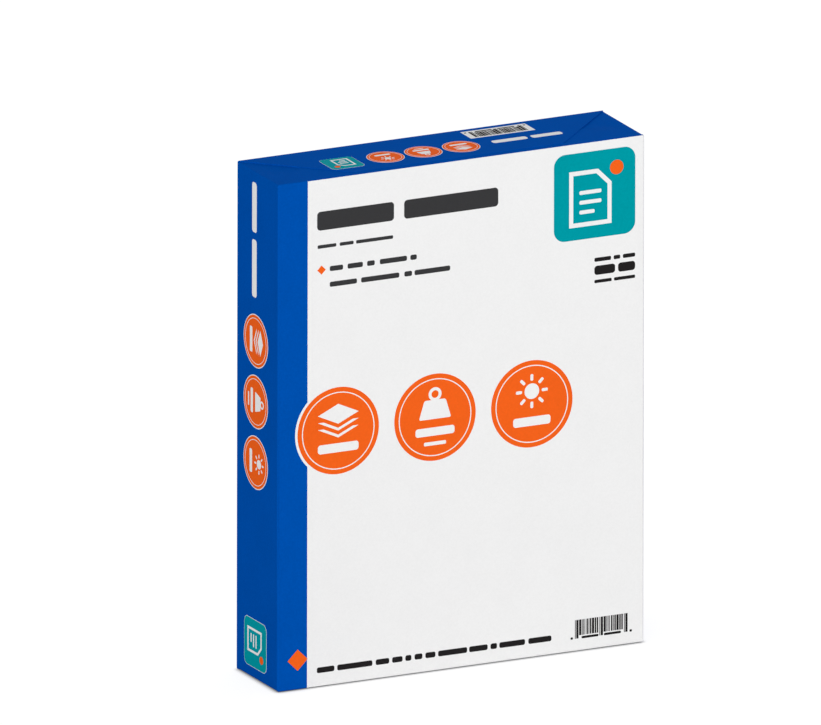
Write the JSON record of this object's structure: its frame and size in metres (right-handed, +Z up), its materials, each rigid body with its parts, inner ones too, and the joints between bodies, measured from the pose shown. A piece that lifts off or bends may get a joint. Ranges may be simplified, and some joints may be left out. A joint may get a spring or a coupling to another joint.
{
  "type": "ream of paper",
  "caption": "Sealed ream of letter-size copier paper in a printed wrapper, standing on its short end, with folded and glued ends.",
  "frame": {"origin": "middle of the bottom end, on which the pack stands", "axes": "+X to the right across the printed front, +Y from the front to the back through the stack, +Z up along the sheets' length"},
  "size_m": [0.2163, 0.0501, 0.2812],
  "materials": {
    "printed_wrapper": "coated satin print, blue with white grounds",
    "white_print": "unprinted white ground of the coated paper",
    "orange_print": "satin ink",
    "teal_print": "satin ink",
    "dark_print": "satin ink"
  },
  "bodies": {
    "root": {"wrapped_ream": "printed_wrapper"}
  },
  "joints": []
}
